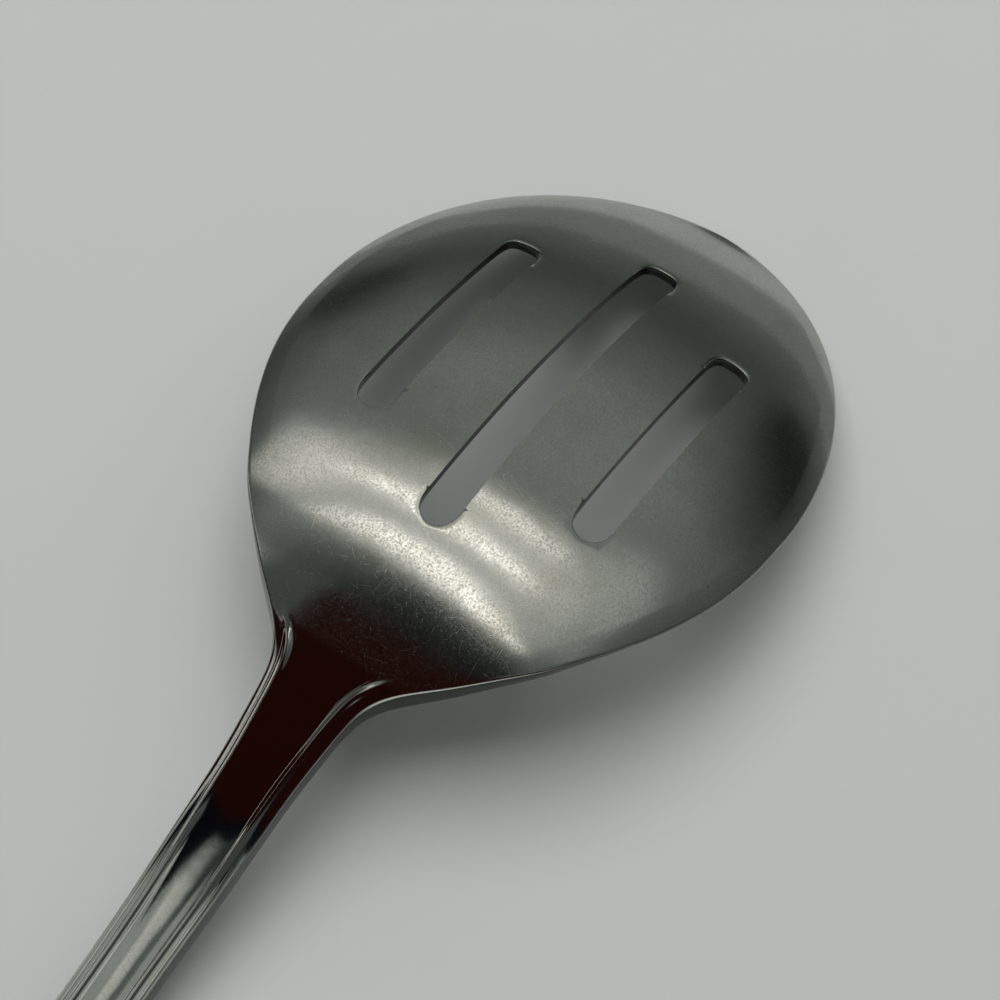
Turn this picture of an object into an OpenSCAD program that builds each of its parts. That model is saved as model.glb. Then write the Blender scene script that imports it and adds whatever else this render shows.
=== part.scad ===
// Slotted serving spoon, one stamped stainless blank, lying face down.
// The bowl is lofted on a grid whose lines follow the rim and the slots.
// Lengths are in millimetres. The table is z = 0 and the tip points along +X.

/* [Bowl] */
// Length of the bowl, from its tip to the neck
bowl_length = 86.3; // [80:0.5:94]
// Greatest width of the bowl
bowl_width = 65.6; // [62:0.5:72]
// Rise of the crown over the rim, beside the sheet's own thickness
bowl_crown = 5.6; // [4:0.05:8]
// Thickness of the sheet in the bowl
sheet_thickness = 1.3; // [1:0.1:1.6]

/* [Slots] */
// Width of each slot
slot_width = 5; // [4.4:0.1:5.6]
// Length of the middle slot
slot_length = 50.2; // [46:0.2:53]
// Length of the outer slots as a share of the middle one
outer_slot_share = 0.67; // [0.58:0.01:0.72]
// Distance from the middle line to an outer slot's middle line
slot_pitch = 15.2; // [14:0.1:16]
// Radius of the slots' corners at their front ends
slot_corner = 1.4; // [1.1:0.1:1.9]
// Radius of the slots' corners at their back ends
slot_heel = 2.1; // [1.6:0.1:2.1]

/* [Handle] */
// Length of the handle, from the neck to its end
handle_length = 122.7; // [112:0.5:140]
// Depth that the handle's end stands below the bowl's rim plane
handle_drop = 57.4; // [50:0.2:64]
// Width of the neck where the handle begins
neck_width = 12.7; // [12:0.1:14.5]
// Width of the handle at its waist
waist_width = 8.5; // [7.6:0.02:9.4]
// Width of the handle's widened end
end_width = 19.2; // [16:0.2:24]
// Length of the rounded end
end_round = 10; // [8:0.2:12]
// Thickness of the handle at the neck
stem_thickness = 3.1; // [2.5:0.1:3.4]

/* [Threaded border] */
// Width of the threaded border along each edge of the handle
border_width = 2.6; // [2.2:0.05:2.7]
// Height of the ridge and thread that bound the middle panel
thread_height = 0.42; // [0.2:0.02:0.6]
// Depth of the fine grooves beside the thread
groove_depth = 0.16; // [0.05:0.01:0.3]
// Rise of the crowned middle panel of the handle
panel_crown = 0.22; // [0.1:0.01:0.4]

/* [Hidden] */
steel = [0.72, 0.72, 0.7];

// Lengthwise places, measured along the rim plane from the bowl's middle
tip_x = 0.4206 * bowl_length;
neck_x = tip_x - bowl_length;
wide_x = tip_x - 0.4786 * bowl_length;
end_x = neck_x - handle_length;
round_x = end_x + end_round;

// Slot ends and corners
slot_half = slot_width / 2;
slot_mid_x = tip_x - 0.488 * bowl_length;
long_front = slot_mid_x + slot_length / 2;
long_back = slot_mid_x - slot_length / 2;
short_front = slot_mid_x + outer_slot_share * slot_length / 2;
short_back = slot_mid_x - outer_slot_share * slot_length / 2;
slot_margin = 0.36 * slot_width;
front_x = long_front + 1.55 * slot_margin;
last_x = round_x - 0.4 * end_round;

// Outline of the bowl behind its widest place: [way to the neck, width]
shoulder_shares = [[0, 1], [0.15, 0.9868], [0.289, 0.9414], [0.429, 0.8526],
    [0.556, 0.7354], [0.644, 0.635], [0.711, 0.5501], [0.8, 0.3913],
    [0.878, 0.2325], [0.911, 0.155], [0.956, 0.0586], [1, 0]];
// Handle from the neck to its waist: [way along the handle, width left]
waist_shares = [[0, 1], [0.0177, 0.731], [0.0355, 0.592], [0.053, 0.484],
    [0.089, 0.296], [0.124, 0.224], [0.177, 0.161], [0.231, 0.058], [0.284, 0]];
// Handle from its waist to the rounded end: [way along the handle, width gained]
flare_shares = [[0.284, 0], [0.399, 0.01], [0.532, 0.11], [0.665, 0.32],
    [0.8, 0.6], [0.905, 0.855], [1, 1]];
// Height of the rim in the bowl: [way from tip to neck, share of the drop]
rim_shares = [[0, -0.0444], [0.1, -0.027], [0.2, -0.0127], [0.3, -0.0042],
    [0.4206, 0], [0.56, -0.0052], [0.7, -0.0203], [0.768, -0.0315],
    [0.814, -0.041], [0.849, -0.0525], [0.884, -0.0715], [0.919, -0.0995],
    [0.954, -0.1315], [1, -0.1735]];
// Height of the handle: [way from neck to end, share of the drop]
arch_shares = [[0, -0.1735], [0.033, -0.2173], [0.065, -0.2607], [0.13, -0.3484],
    [0.196, -0.4338], [0.261, -0.507], [0.342, -0.594], [0.434, -0.6838],
    [0.546, -0.7787], [0.664, -0.8589], [0.831, -0.946], [1, -1]];
// Crown of the bowl: [way from tip to neck, share of its rise]
crown_shares = [[0, 0], [0.015, 0.02], [0.038, 0.117], [0.073, 0.295], [0.143, 0.586],
    [0.212, 0.786], [0.282, 0.917], [0.351, 0.982], [0.4206, 1], [0.49, 0.988],
    [0.56, 0.94], [0.629, 0.851], [0.699, 0.713], [0.768, 0.517], [0.838, 0.24],
    [0.896, 0.09], [0.954, 0.03], [1, 0]];
// Thickness gained from the sheet to the stem: [way from tip to neck, share]
swell_shares = [[0, 0], [0.745, 0], [0.838, 0.19], [0.896, 0.44], [0.954, 0.75], [1, 0.94]];
// Thickness of the handle: [way from neck to end, share of the stem's]
stem_shares = [[0, 0.966], [0.08, 1], [0.3, 0.93], [0.7, 0.8], [1, 0.72]];
// Rise of the panel's crown: [way from neck to end, share]
panel_shares = [[0, 0], [0.08, 0.06], [0.2, 0.75], [0.3, 1], [0.9, 1], [0.96, 0.6], [1, 0]];

// Rings of the border, from the edge inwards, as shares of its width
ring_shares = [0.32, 0.43, 0.53, 0.62, 0.71, 0.8, 0.92];
band = 1.2 * border_width;
bowl_half = bowl_width / 2;
neck_half = neck_width / 2;
waist_half = waist_width / 2;
end_half = end_width / 2;
bow_power = 1.93;
nose_angle = 40;
heel_angle = 45;
thread_place = 0.62 * border_width;
outer_groove = 0.43 * border_width;
inner_groove = 0.8 * border_width;
groove_spread = 0.08 * border_width;
flank_width = 0.5 * border_width;
rim_roll = 0.41;

function mix(a, b, s) = a + (b - a) * s;
function ease(s) = let (u = max(0, min(1, s))) u * u * (3 - 2 * u);

// Slope of a table at one of its rows, kept flat at turning points
function row_slope(t, k) = k <= 0 || k >= len(t) - 1
    ? (let (a = k <= 0 ? 0 : len(t) - 2) (t[a + 1][1] - t[a][1]) / (t[a + 1][0] - t[a][0]))
    : (let (h0 = t[k][0] - t[k - 1][0], h1 = t[k + 1][0] - t[k][0],
        s0 = (t[k][1] - t[k - 1][1]) / h0, s1 = (t[k + 1][1] - t[k][1]) / h1)
        s0 * s1 <= 0 ? 0 : (s0 * h1 + s1 * h0) / (h0 + h1));
function row_of(t, u, k = 0) = k >= len(t) - 2 || u < t[k + 1][0] ? k : row_of(t, u, k + 1);
function read(t, u) = let (v = max(t[0][0], min(t[len(t) - 1][0], u)), k = row_of(t, v),
    h = t[k + 1][0] - t[k][0], s = (v - t[k][0]) / h,
    m0 = row_slope(t, k) * h, m1 = row_slope(t, k + 1) * h,
    a = t[k][1], b = t[k + 1][1])
    a * (2 * s * s * s - 3 * s * s + 1) + m0 * (s * s * s - 2 * s * s + s)
    + b * (3 * s * s - 2 * s * s * s) + m1 * (s * s * s - s * s);

function bowl_way(x) = (tip_x - x) / bowl_length;
function handle_way(x) = (neck_x - x) / handle_length;
function body_way(x) = (neck_x - x) / (neck_x - round_x);

// Half width of the outline
function half_width(x) =
    x >= wide_x ? (let (u = min(1, (x - wide_x) / (tip_x - wide_x)))
        bowl_half * pow(max(0, 1 - pow(u, bow_power)), 1 / bow_power))
    : x >= neck_x ? neck_half + (bowl_half - neck_half)
        * read(shoulder_shares, (wide_x - x) / (wide_x - neck_x))
    : x >= round_x ? (body_way(x) < 0.284
        ? waist_half + (neck_half - waist_half) * read(waist_shares, body_way(x))
        : waist_half + (end_half - waist_half) * read(flare_shares, body_way(x)))
    : (let (u = min(1, (round_x - x) / end_round)) end_half * sqrt(max(0, 1 - u * u)));

// Height of the middle of the edge
function edge_height(x) = handle_drop * (x >= neck_x
    ? read(rim_shares, bowl_way(x)) : read(arch_shares, handle_way(x)));
function thick(x) = x >= neck_x
    ? sheet_thickness + (stem_thickness - sheet_thickness) * read(swell_shares, bowl_way(x))
    : stem_thickness * read(stem_shares, handle_way(x));
function dome(x) = x >= neck_x ? bowl_crown * read(crown_shares, bowl_way(x)) : 0;
function panel(x, y) = x >= neck_x ? 0 : let (w = half_width(x) - inner_groove)
    w <= 0 ? 0 : panel_crown * read(panel_shares, handle_way(x)) * max(0, 1 - pow(y / w, 2));
// The bowl's section, a soft crown with its edge rolled down more steeply
function swell(x, y) = let (w = half_width(x), t = w <= 0 ? 1 : min(1, abs(y) / w))
    (1 - rim_roll) * pow(max(0, 1 - pow(t, 2.07)), 1.18) + rim_roll * (1 - pow(t, 6.8));
function round_off(x) = min(0.16 * thick(x), 0.1 * border_width);
// The cut edge stands square to the sheet, so below the bowl's edge it leans in by this much
function undercut(x) = min(0.3 * border_width - round_off(x), thick(x) * (x >= wide_x ? 0.4
    : x >= neck_x ? min(0.4, rim_roll * 6.8 * dome(x) / half_width(x)) : 0));

// The border is a rounded ridge at the neck, which narrows to a thread between two fine grooves.
// Outside it a flange falls away to the edge, and all of it fades out into the bowl's shoulders.
function thread_fade(x) = ease((bowl_way(x) - 0.955) / 0.045);
function fine(x) = ease((handle_way(x) - 0.1) / 0.1);
function bump(d, at, spread) = exp(-pow((d - at) / spread, 2));
function flank(x, d) = mix(0.8, 0.3, fine(x)) * pow(max(0, 1 - d / flank_width), 2);
function threads(x, d) = thread_fade(x)
    * (thread_height * (mix(1, 0.6, fine(x))
    * bump(d, thread_place, mix(0.19, 0.11, fine(x)) * border_width) - flank(x, d))
    - groove_depth * (mix(0.4, 1, fine(x)) * bump(d, outer_groove, groove_spread)
    + fine(x) * bump(d, inner_groove, groove_spread)));
function edge_drop(x, d) = let (r = round_off(x))
    d >= r ? 0 : r - sqrt(max(0, r * r - (r - d) * (r - d)));
function top_z(x, y, d) = edge_height(x) + thick(x) / 2 + dome(x) * swell(x, y) + panel(x, y)
    + threads(x, d) - edge_drop(x, d);
function under_z(x, y, d, cut) = edge_height(x) - thick(x) / 2 + dome(x) * swell(x, y)
    - 0.35 * threads(x, d) + edge_drop(x, d - cut);

// Rows of the grid, from the front of the slots to the end of the handle
function steps(a, b, n) = [for (k = [0 : n - 1]) a + (b - a) * k / n];
rows = concat(steps(front_x, long_front, 2), steps(long_front, long_front - slot_corner, 1),
    steps(long_front - slot_corner, short_front, 2),
    steps(short_front, short_front - slot_corner, 1),
    steps(short_front - slot_corner, short_back + slot_heel, 10),
    steps(short_back + slot_heel, short_back, 1),
    steps(short_back, long_back + slot_heel, 3),
    steps(long_back + slot_heel, long_back, 1), steps(long_back, neck_x, 9),
    steps(neck_x, mix(neck_x, round_x, 0.18), 10),
    steps(mix(neck_x, round_x, 0.18), mix(neck_x, round_x, 0.45), 7),
    steps(mix(neck_x, round_x, 0.45), round_x, 12), steps(round_x, last_x, 2), [last_x]);
row_end = len(rows) - 1;
long_rows = [2, 21];
short_rows = [5, 17];

// Columns of the grid on one side, from the middle line outwards
rib = (slot_pitch - 2 * slot_half) / 3;
core_half = slot_pitch + slot_half + slot_margin;
columns = [0, slot_half - slot_corner, slot_half, slot_half + rib, slot_half + 2 * rib,
    slot_pitch - slot_half, slot_pitch - slot_half + slot_corner,
    slot_pitch + slot_half - slot_corner, slot_pitch + slot_half, core_half];
// The columns that carry the corners close in towards the rounder back end of a slot
function heel_share(x, front, back) = ease((front - x) / (front - back));
function column_shift(a, x) = (slot_heel - slot_corner)
    * (a == 1 ? -heel_share(x, long_front, long_back)
    : a == 6 ? heel_share(x, short_front, short_back)
    : a == 7 ? -heel_share(x, short_front, short_back) : 0);
side = len(columns) - 1;
ends_x = short_front + 0.7 * slot_margin;
back_x = short_back - 0.7 * slot_margin;
straight_x = long_back - 0.7 * slot_margin;

function core_edge(x) =
    x > ends_x ? core_half * (1 - 0.28 * pow((x - ends_x) / (front_x - ends_x), 2))
    : x > back_x ? core_half
    : x > neck_x ? half_width(x) - mix(half_width(back_x) - core_half, band,
        ease((back_x - x) / (back_x - neck_x)))
    : x >= round_x ? half_width(x) - band
    : (end_half - band) * (1 - 0.25 * pow((round_x - x) / (round_x - last_x), 2));
function column_y(a, x) = let (y = columns[a] + column_shift(a, x)) a == 0 ? 0
    : a > 2 ? y / core_half * core_edge(x)
    : x >= straight_x ? y
    : mix(y, 0.1 * a * core_edge(x), ease((straight_x - x) / (straight_x - neck_x)));

// A slot's corner points move in onto its corner radius
function corner_move(i) = 0.2929 * (i == long_rows[0] || i == short_rows[0] ? slot_corner : slot_heel);
function corner_x(i, a) = a == 2 ? (i == long_rows[0] ? -1 : i == long_rows[1] ? 1 : 0)
    : a == 5 || a == 8 ? (i == short_rows[0] ? -1 : i == short_rows[1] ? 1 : 0) : 0;
function corner_y(a) = a == 5 ? 1 : -1;
function core_point(i, j) = let (a = abs(j), c = corner_x(i, a), x = rows[i])
    [x + c * corner_move(i),
    sign(j) * (column_y(a, x) + (c == 0 ? 0 : corner_y(a) * corner_move(i)))];

// The path round the grid, and the outline point that belongs to each place on it
across = 2 * side;
path_count = 2 * across + 2 * row_end;
function path_cell(p) =
    p < across ? [0, p - side]
    : p < across + row_end ? [p - across, side]
    : p < 2 * across + row_end ? [row_end, side - (p - across - row_end)]
    : [row_end - (p - 2 * across - row_end), -side];
function nose_point(angle, s) = [wide_x + (tip_x - wide_x) * pow(cos(angle), 2 / bow_power),
    s * bowl_half * pow(sin(angle), 2 / bow_power)];
function heel_point(angle, s) = [round_x - end_round * cos(angle), s * end_half * sin(angle)];
function rim_point(p) = let (c = path_cell(p), x = rows[c[0]], s = sign(c[1]), v = abs(c[1]) / side,
    y = abs(core_point(c[0], c[1])[1]) / core_edge(x),
    u = (x - wide_x) / (front_x - wide_x), w = (round_x - x) / (round_x - last_x))
    c[0] == 0 ? nose_point(nose_angle * y, s)
    : c[0] == row_end ? heel_point(heel_angle * y, s)
    : x > wide_x ? nose_point(90 - (90 - nose_angle) * (0.75 * u + 0.25 * u * u), s)
    : x < round_x ? heel_point(90 - (90 - heel_angle) * w, s)
    : [x, s * half_width(x)];
rims = [for (p = [0 : path_count - 1]) rim_point(p)];
inners = [for (p = [0 : path_count - 1]) let (c = path_cell(p)) core_point(c[0], c[1])];

// Insets of the rings at one place on the path, from the edge inwards
function insets(p, cut) = let (r = round_off(rims[p][0]), far = norm(inners[p] - rims[p]))
    concat([cut, cut + 0.3 * r, cut + r], [for (s = ring_shares) s * border_width],
    [(border_width + far) / 2]);
rings = len(ring_shares) + 4;
function ring_points(upper) = [for (k = [0 : rings - 1], p = [0 : path_count - 1])
    let (a = rims[p], b = inners[p], cut = upper ? 0 : undercut(a[0]), d = insets(p, cut)[k],
        q = a + (b - a) * d / norm(b - a))
    [q[0], q[1], upper ? top_z(q[0], q[1], d) : under_z(q[0], q[1], d, cut)]];
function core_points(upper) = [for (i = [0 : row_end], j = [-side : side])
    let (q = core_point(i, j), d = 4 * border_width)
    [q[0], q[1], upper ? top_z(q[0], q[1], d) : under_z(q[0], q[1], d, 0)]];

raw_points = concat(core_points(true), core_points(false), ring_points(true), ring_points(false));

// The spoon lies on its tip and on the lowest place of the handle's arch
tip_low = [for (q = raw_points) if (q[0] > 0.7 * tip_x && abs(q[1]) < 0.4 * bowl_half) q];
arch_low = [for (q = raw_points) if (q[0] < neck_x - 0.3 * handle_length) q];
lean_slope = max([for (b = arch_low) min([for (a = tip_low) (a[2] - b[2]) / (a[0] - b[0])])]);
lean = atan(lean_slope);
function laid(q) = [q[0] * cos(lean) + q[2] * sin(lean), q[1], q[2] * cos(lean) - q[0] * sin(lean)];
laid_points = [for (q = raw_points) laid(q)];
low_z = min([for (q = laid_points) q[2]]);
mid_x = (max([for (q = laid_points) q[0]]) + min([for (q = laid_points) q[0]])) / 2;
spoon_points = [for (q = laid_points) [q[0] - mid_x, q[1], q[2] - low_z]];

// Point numbers of the four sheets of points
width_count = 2 * side + 1;
core_count = (row_end + 1) * width_count;
ring_count = rings * path_count;
function core_no(upper, i, j) = (upper ? 0 : core_count) + i * width_count + j + side;
function ring_no(upper, k, p) = let (q = (p + path_count) % path_count, c = path_cell(q))
    k == rings ? core_no(upper, c[0], c[1])
    : 2 * core_count + (upper ? 0 : ring_count) + k * path_count + q;
function two(a, b, c, d) = [[a, c, b], [a, d, c]];

function is_slot(i, j) = (i >= long_rows[0] && i < long_rows[1] && j >= -2 && j < 2)
    || (i >= short_rows[0] && i < short_rows[1] && ((j >= 5 && j < 8) || (j >= -8 && j < -5)));
core_faces = [for (i = [0 : row_end - 1], j = [-side : side - 1]) if (!is_slot(i, j))
    let (t = [core_no(true, i, j), core_no(true, i, j + 1), core_no(true, i + 1, j + 1),
        core_no(true, i + 1, j)],
        u = [core_no(false, i, j), core_no(false, i + 1, j), core_no(false, i + 1, j + 1),
        core_no(false, i, j + 1)])
    each concat(two(t[0], t[1], t[2], t[3]), two(u[0], u[1], u[2], u[3]))];
ring_faces = [for (k = [0 : rings - 1], p = [0 : path_count - 1])
    each concat(two(ring_no(true, k, p), ring_no(true, k, p + 1),
        ring_no(true, k + 1, p + 1), ring_no(true, k + 1, p)),
        two(ring_no(false, k, p), ring_no(false, k + 1, p),
        ring_no(false, k + 1, p + 1), ring_no(false, k, p + 1)))];
rim_faces = [for (p = [0 : path_count - 1]) each two(ring_no(false, 0, p), ring_no(false, 0, p + 1),
    ring_no(true, 0, p + 1), ring_no(true, 0, p))];

// The walls of a slot, round its block of left out cells
function slot_walls(i0, i1, j0, j1) = let (loop = concat([for (j = [j0 : j1 - 1]) [i0, j]],
    [for (i = [i0 : i1 - 1]) [i, j1]], [for (j = [j1 : -1 : j0 + 1]) [i1, j]],
    [for (i = [i1 : -1 : i0 + 1]) [i, j0]]), n = len(loop))
    [for (k = [0 : n - 1]) let (a = loop[k], b = loop[(k + 1) % n])
    each two(core_no(true, a[0], a[1]), core_no(true, b[0], b[1]),
        core_no(false, b[0], b[1]), core_no(false, a[0], a[1]))];
wall_faces = concat(slot_walls(long_rows[0], long_rows[1], -2, 2),
    slot_walls(short_rows[0], short_rows[1], 5, 8),
    slot_walls(short_rows[0], short_rows[1], -8, -5));

module spoon() {
    color(steel) polyhedron(points = spoon_points,
        faces = concat(core_faces, ring_faces, rim_faces, wall_faces), convexity = 8);
}

spoon();
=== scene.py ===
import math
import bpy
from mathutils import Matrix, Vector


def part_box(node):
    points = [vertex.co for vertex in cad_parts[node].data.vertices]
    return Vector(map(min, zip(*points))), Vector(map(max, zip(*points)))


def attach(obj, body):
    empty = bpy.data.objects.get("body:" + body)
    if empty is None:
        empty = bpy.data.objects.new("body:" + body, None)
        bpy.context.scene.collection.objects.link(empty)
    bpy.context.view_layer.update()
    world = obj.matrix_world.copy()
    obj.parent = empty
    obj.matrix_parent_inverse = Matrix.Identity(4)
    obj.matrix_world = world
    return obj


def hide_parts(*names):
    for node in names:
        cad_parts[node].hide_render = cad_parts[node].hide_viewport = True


bl_info = {
    "name": "Slotted serving spoon",
    "version": (1, 0, 0),
    "blender": (4, 5, 0),
    "location": "3D View > Sidebar > Spoon",
    "description": "A stamped steel serving spoon with three slots, and its stage",
    "category": "Object",
}

import bmesh
import bpy
from mathutils import Matrix, Vector
from mathutils.kdtree import KDTree

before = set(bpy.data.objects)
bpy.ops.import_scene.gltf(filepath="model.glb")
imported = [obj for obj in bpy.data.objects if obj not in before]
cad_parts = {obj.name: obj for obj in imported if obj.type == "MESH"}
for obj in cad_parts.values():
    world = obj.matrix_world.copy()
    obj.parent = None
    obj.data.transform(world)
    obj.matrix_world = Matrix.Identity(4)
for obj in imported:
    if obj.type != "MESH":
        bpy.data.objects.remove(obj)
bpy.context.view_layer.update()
MM = 0.001

# Outline of the bowl behind its widest place: way to the neck, width
SHOULDER = [(0, 1), (0.15, 0.9868), (0.289, 0.9414), (0.429, 0.8526), (0.556, 0.7354), (0.644, 0.635),
            (0.711, 0.5501), (0.8, 0.3913), (0.878, 0.2325), (0.911, 0.155), (0.956, 0.0586), (1, 0)]
# Handle from the neck to its waist: way along the body of the handle, width left
WAIST = [(0, 1), (0.0177, 0.731), (0.0355, 0.592), (0.053, 0.484), (0.089, 0.296), (0.124, 0.224),
         (0.177, 0.161), (0.231, 0.058), (0.284, 0)]
# Handle from its waist to the rounded end: way along the body of the handle, width gained
FLARE = [(0.284, 0), (0.399, 0.01), (0.532, 0.11), (0.665, 0.32), (0.8, 0.6), (0.905, 0.855), (1, 1)]
# Height of the rim of the bowl: way from tip to neck, share of the drop
RIM = [(0, -0.0444), (0.1, -0.027), (0.2, -0.0127), (0.3, -0.0042), (0.4206, 0), (0.56, -0.0052),
       (0.7, -0.0203), (0.768, -0.0315), (0.814, -0.041), (0.849, -0.0525), (0.884, -0.0715),
       (0.919, -0.0995), (0.954, -0.1315), (1, -0.1735)]
# Height of the handle: way from neck to end, share of the drop
ARCH = [(0, -0.1735), (0.033, -0.2173), (0.065, -0.2607), (0.13, -0.3484), (0.196, -0.4338),
        (0.261, -0.507), (0.342, -0.594), (0.434, -0.6838), (0.546, -0.7787), (0.664, -0.8589),
        (0.831, -0.946), (1, -1)]
# Crown of the bowl: way from tip to neck, share of its rise
CROWN = [(0, 0), (0.015, 0.02), (0.038, 0.117), (0.073, 0.295), (0.143, 0.586), (0.212, 0.786),
         (0.282, 0.917), (0.351, 0.982), (0.4206, 1), (0.49, 0.988), (0.56, 0.94), (0.629, 0.851),
         (0.699, 0.713), (0.768, 0.517), (0.838, 0.24), (0.896, 0.09), (0.954, 0.03), (1, 0)]
# Thickness gained from the sheet to the stem: way from tip to neck, share
SWELL = [(0, 0), (0.745, 0), (0.838, 0.19), (0.896, 0.44), (0.954, 0.75), (1, 0.94)]
# Thickness of the handle: way from neck to end, share of the stem's
STEM = [(0, 0.966), (0.08, 1), (0.3, 0.93), (0.7, 0.8), (1, 0.72)]
# Rise of the middle panel's crown: way from neck to end, share
PANEL = [(0, 0), (0.08, 0.06), (0.2, 0.75), (0.3, 1), (0.9, 1), (0.96, 0.6), (1, 0)]

# Way from neck to round end where the handle is narrowest
WAIST_END = 0.284
# Ways from tip to neck: the bowl's middle, its greatest width, and the middle of the slots
MIDDLE_AT, WIDEST_AT, SLOTS_AT = 0.4206, 0.4786, 0.488
# How full the bowl's front outline is. An ellipse would be 2
NOSE_FORM = 1.93
# The bowl's section: share of its rise that is the steep roll at the edge, power of that roll, and
# the two powers of the soft crown, one for its flat top and one for its fall
ROLL_SHARE, ROLL_FORM, CROWN_FLAT, CROWN_FALL = 0.41, 6.8, 2.07, 1.18
# Insets from the outline as shares of the border's width: the net's own edge, the inner groove, the
# ridge, the outer groove and the flange. The border's rings lie on them and between them
NET_EDGE, INNER_GROOVE, RIDGE, OUTER_GROOVE, FLANGE = 1.2, 0.8, 0.62, 0.43, 0.32
RINGS = (NET_EDGE, 0.92, INNER_GROOVE, 0.71, RIDGE, 0.53, OUTER_GROOVE, FLANGE)
# Columns of the net along the slots' sides: the middle slot's, and an outer slot's two
MIDDLE_SIDE, OUTER_SIDES = 2, (5, 8)
# Rows of the net where the middle slot and the outer slots begin and end, as rows() lays them out
LONG_ROWS, SHORT_ROWS = (2, 21), (5, 17)
# How far a round corner's middle stands in from the square corner, as a share of its radius
CORNER_CUT = 0.2929


def linear(code):
    """An sRGB hex colour as linear red, green, blue and alpha."""
    parts = [int(code[k:k + 2], 16) / 255 for k in (1, 3, 5)]
    return [p / 12.92 if p <= 0.04045 else ((p + 0.055) / 1.055) ** 2.4 for p in parts] + [1.0]


def mix(a, b, share):
    """The value that lies a share of the way from a to b."""
    return a + (b - a) * share


def ease(share):
    """A soft step from 0 to 1."""
    s = min(1.0, max(0.0, share))
    return s * s * (3 - 2 * s)


def bump(way, at, spread):
    """A soft hill of height 1 at a place."""
    return math.exp(-((way - at) / spread) ** 2)


def slope_at(table, k):
    """Slope of a table at one of its rows, flat where the table turns."""
    if k == 0 or k == len(table) - 1:
        a = 0 if k == 0 else k - 1
        return (table[a + 1][1] - table[a][1]) / (table[a + 1][0] - table[a][0])
    before = table[k][0] - table[k - 1][0]
    after = table[k + 1][0] - table[k][0]
    rise = (table[k][1] - table[k - 1][1]) / before
    fall = (table[k + 1][1] - table[k][1]) / after
    return 0.0 if rise * fall <= 0 else (rise * after + fall * before) / (before + after)


def read(table, way):
    """Value of a table at a place along it, on a smooth line through its rows."""
    u = min(table[-1][0], max(table[0][0], way))
    k = 0
    while k < len(table) - 2 and u >= table[k + 1][0]:
        k += 1
    step = table[k + 1][0] - table[k][0]
    s = (u - table[k][0]) / step
    a = slope_at(table, k) * step
    b = slope_at(table, k + 1) * step
    return (table[k][1] * (2 * s ** 3 - 3 * s ** 2 + 1) + a * (s ** 3 - 2 * s ** 2 + s)
            + table[k + 1][1] * (3 * s ** 2 - 2 * s ** 3) + b * (s ** 3 - s ** 2))


class SpoonSizes(bpy.types.PropertyGroup):
    """Sizes of the spoon, from the picture and from cutlery of this kind."""
    bowl_length: bpy.props.FloatProperty(
        name="Bowl length", description="From the bowl's tip to the neck",
        default=0.0863, unit="LENGTH")
    bowl_width: bpy.props.FloatProperty(
        name="Bowl width", description="Greatest width of the bowl",
        default=0.0656, unit="LENGTH")
    bowl_crown: bpy.props.FloatProperty(
        name="Bowl crown", description="Rise of the crown over the rim",
        default=0.0056, unit="LENGTH")
    sheet_thickness: bpy.props.FloatProperty(
        name="Sheet thickness", description="Thickness of the sheet in the bowl",
        default=0.0013, unit="LENGTH")
    slot_width: bpy.props.FloatProperty(
        name="Slot width", description="Width of each slot",
        default=0.005, unit="LENGTH")
    slot_length: bpy.props.FloatProperty(
        name="Slot length", description="Length of the middle slot",
        default=0.0502, unit="LENGTH")
    outer_slot_share: bpy.props.FloatProperty(
        name="Outer slots", description="Length of the outer slots as a share of the middle one",
        default=0.67, subtype="FACTOR", min=0.5, max=0.8)
    slot_pitch: bpy.props.FloatProperty(
        name="Slot pitch", description="From the middle line to an outer slot's middle line",
        default=0.0152, unit="LENGTH")
    slot_corner: bpy.props.FloatProperty(
        name="Slot corner", description="Radius of the slots' corners at their front ends",
        default=0.0014, unit="LENGTH")
    slot_heel: bpy.props.FloatProperty(
        name="Slot heel", description="Radius of the slots' corners at their back ends",
        default=0.0021, unit="LENGTH")
    handle_length: bpy.props.FloatProperty(
        name="Handle length", description="From the neck to the handle's end",
        default=0.1227, unit="LENGTH")
    handle_drop: bpy.props.FloatProperty(
        name="Handle drop", description="How far the handle's end stands below the rim plane",
        default=0.0574, unit="LENGTH")
    neck_width: bpy.props.FloatProperty(
        name="Neck width", description="Width of the neck where the handle begins",
        default=0.0127, unit="LENGTH")
    waist_width: bpy.props.FloatProperty(
        name="Waist width", description="Width of the handle at its waist",
        default=0.0085, unit="LENGTH")
    end_width: bpy.props.FloatProperty(
        name="End width", description="Width of the handle's widened end",
        default=0.0192, unit="LENGTH")
    end_round: bpy.props.FloatProperty(
        name="Rounded end", description="Length of the handle's rounded end",
        default=0.01, unit="LENGTH")
    stem_thickness: bpy.props.FloatProperty(
        name="Stem thickness", description="Thickness of the handle at the neck",
        default=0.0031, unit="LENGTH")
    border_width: bpy.props.FloatProperty(
        name="Border width", description="Width of the threaded border along the handle's edges",
        default=0.0026, unit="LENGTH")
    thread_height: bpy.props.FloatProperty(
        name="Thread height", description="Height of the ridge and thread that bound the middle panel",
        default=0.00042, unit="LENGTH")
    groove_depth: bpy.props.FloatProperty(
        name="Groove depth", description="Depth of the grooves beside the thread",
        default=0.00016, unit="LENGTH")
    panel_crown: bpy.props.FloatProperty(
        name="Panel crown", description="Rise of the handle's crowned middle panel",
        default=0.00022, unit="LENGTH")


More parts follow.
